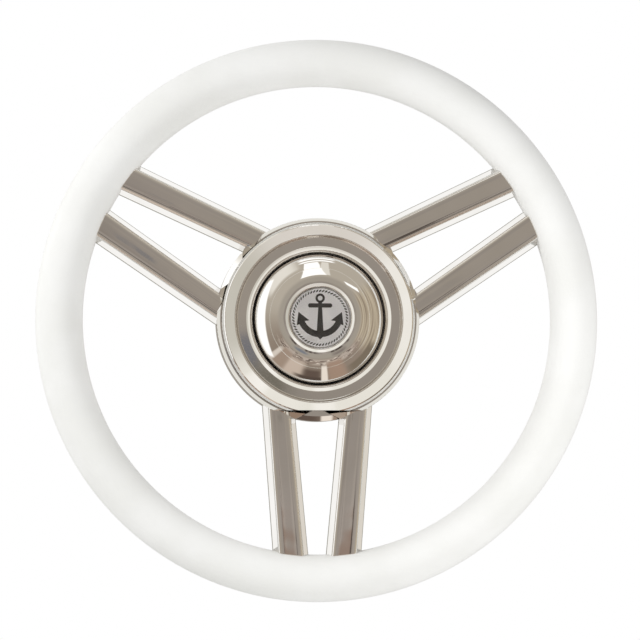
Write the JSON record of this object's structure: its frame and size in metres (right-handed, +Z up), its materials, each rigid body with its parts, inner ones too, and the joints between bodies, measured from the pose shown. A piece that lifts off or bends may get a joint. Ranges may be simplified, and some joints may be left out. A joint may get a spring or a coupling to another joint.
{
  "type": "boat steering wheel",
  "caption": "Boat steering wheel with a round white moulded grip, paired polished spokes, a stepped polished hub and a pull-off centre cap over the shaft nut.",
  "frame": {"origin": "centre of the boss's back face, where the large end of the tapered shaft bore opens", "axes": "+Z up, the wheel's axis along Y, its front along -Y and the steering shaft leaving along +Y, the bottom pair of spokes along -Z"},
  "size_m": [0.35, 0.073, 0.35],
  "materials": {
    "grip_skin": "moulded white polyurethane skin with a fine leather grain",
    "ring_steel": "plain drawn steel bar",
    "polished_spokes": "mirror polished stainless pressing",
    "polished_hub": "mirror polished turned stainless",
    "polished_cap": "mirror polished deep-drawn stainless",
    "plain_steel": "plain plate",
    "machined_aluminium": "turned, as machined",
    "spring_steel": "blackened spring steel",
    "screw_steel": "stainless screw",
    "black_plastic": "black moulded plastic",
    "seal_rubber": "black rubber",
    "badge_silver": "satin silver foil with a plain black printed motif",
    "clear_resin": "clear domed resin"
  },
  "bodies": {
    "wheel": {"rim_grip": "grip_skin", "rim_ring": "ring_steel", "spoke_pair_bottom": "polished_spokes", "spoke_pair_left": "polished_spokes", "spoke_pair_right": "polished_spokes", "hub_shell": "polished_hub", "trim_ring": "polished_hub", "clamp_ring": "plain_steel", "hub_boss": "machined_aluminium", "shell_circlip": "spring_steel", "spoke_screws": "screw_steel", "socket_screws": "screw_steel", "cap_socket": "black_plastic", "cap_oring": "seal_rubber"},
    "cap": {"centre_cap": "polished_cap", "badge_disc": "badge_silver", "badge_dome": "clear_resin"}
  },
  "joints": [
    {"name": "cap_pull", "type": "slide", "parent": "wheel", "child": "cap", "axis": [0, -1, 0], "range_m": [0, 0.015]}
  ]
}
